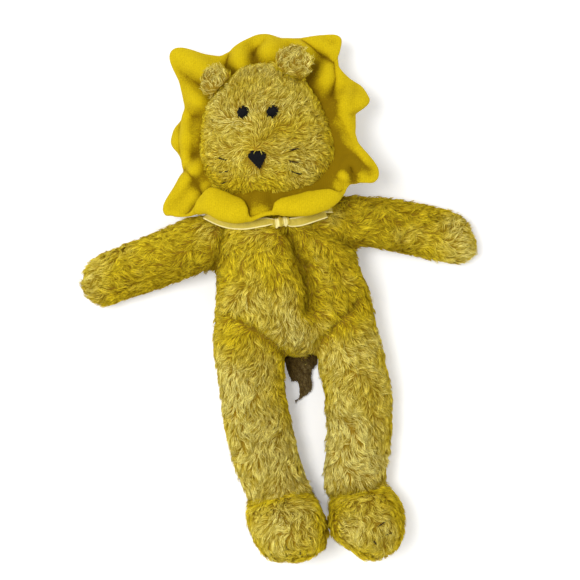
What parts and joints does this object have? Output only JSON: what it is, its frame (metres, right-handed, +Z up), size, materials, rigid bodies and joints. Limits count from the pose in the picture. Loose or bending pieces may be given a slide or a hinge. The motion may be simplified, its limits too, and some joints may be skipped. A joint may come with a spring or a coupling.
{
  "type": "plush lion",
  "caption": "Floppy golden plush lion lying on its back, with a bright velour mane, long jointed limbs and a sheer ribbon round its neck.",
  "frame": {"origin": "on the flat of the torso's back, where the lion rests when it lies on its back", "axes": "+Z up out of the belly, +Y from the rump to the head, +X to the lion's own left"},
  "size_m": [0.268, 0.3683, 0.0918],
  "materials": {
    "golden_plush": "matte",
    "mane_velour": "matte",
    "filling": "matte",
    "pouch_cloth": "matte",
    "black_thread": "satin",
    "brown_thread": "satin",
    "brown_plush": "matte",
    "ribbon_satin": "satin"
  },
  "bodies": {
    "torso": {"torso_skin": "golden_plush", "torso_stuffing": "filling", "seat_pellet_pouch": "pouch_cloth", "neck_ribbon": "ribbon_satin", "ribbon_knot": "ribbon_satin", "ribbon_tail_left": "ribbon_satin", "ribbon_tail_right": "ribbon_satin"},
    "head": {"head_skin": "golden_plush", "head_stuffing": "filling", "eye_left": "black_thread", "eye_right": "black_thread", "nose": "black_thread", "whisker_left_1": "brown_thread", "whisker_left_2": "brown_thread", "whisker_left_3": "brown_thread", "whisker_right_1": "brown_thread", "whisker_right_2": "brown_thread", "whisker_right_3": "brown_thread", "ear_left": "golden_plush", "ear_right": "golden_plush", "mane": "mane_velour"},
    "arm_left": {"arm_left_skin": "golden_plush", "arm_left_stuffing": "filling"},
    "arm_right": {"arm_right_skin": "golden_plush", "arm_right_stuffing": "filling"},
    "leg_left": {"leg_left_skin": "golden_plush", "leg_left_stuffing": "filling"},
    "leg_right": {"leg_right_skin": "golden_plush", "leg_right_stuffing": "filling"},
    "foot_left": {"foot_left_skin": "golden_plush", "foot_left_pellet_pouch": "pouch_cloth", "claw_left_1": "brown_thread", "claw_left_2": "brown_thread", "claw_left_3": "brown_thread"},
    "foot_right": {"foot_right_skin": "golden_plush", "foot_right_pellet_pouch": "pouch_cloth", "claw_right_1": "brown_thread", "claw_right_2": "brown_thread", "claw_right_3": "brown_thread"},
    "tail": {"tail": "golden_plush", "tail_tuft": "brown_plush"}
  },
  "joints": [
    {"name": "neck_turn", "type": "hinge", "parent": "torso", "child": "head", "pos_m": [-0.005, 0.05, 0.0425], "axis": [0.1736, 0.9848, 0], "range_deg": [-20, 20]},
    {"name": "shoulder_left", "type": "hinge", "parent": "torso", "child": "arm_left", "pos_m": [0.04698, 0.0345, 0.0305], "axis": [0, -1, 0], "range_deg": [-15, 55]},
    {"name": "shoulder_right", "type": "hinge", "parent": "torso", "child": "arm_right", "pos_m": [-0.04698, 0.0345, 0.0305], "axis": [0, 1, 0], "range_deg": [-15, 55]},
    {"name": "hip_left", "type": "hinge", "parent": "torso", "child": "leg_left", "pos_m": [0.0355, -0.0466, 0.0305], "axis": [-1, 0, 0], "range_deg": [-12, 55]},
    {"name": "hip_right", "type": "hinge", "parent": "torso", "child": "leg_right", "pos_m": [-0.0355, -0.0466, 0.0305], "axis": [-1, 0, 0], "range_deg": [-12, 55]},
    {"name": "ankle_left", "type": "hinge", "parent": "leg_left", "child": "foot_left", "pos_m": [0.0225, -0.1396, 0.01836], "axis": [-1, 0, 0], "range_deg": [-20, 12]},
    {"name": "ankle_right", "type": "hinge", "parent": "leg_right", "child": "foot_right", "pos_m": [-0.0315, -0.1396, 0.01836], "axis": [-1, 0, 0], "range_deg": [-20, 12]},
    {"name": "tail_lift", "type": "hinge", "parent": "torso", "child": "tail", "pos_m": [0.0025, -0.0402, 0.0114], "axis": [-1, 0, 0], "range_deg": [0, 25]}
  ]
}
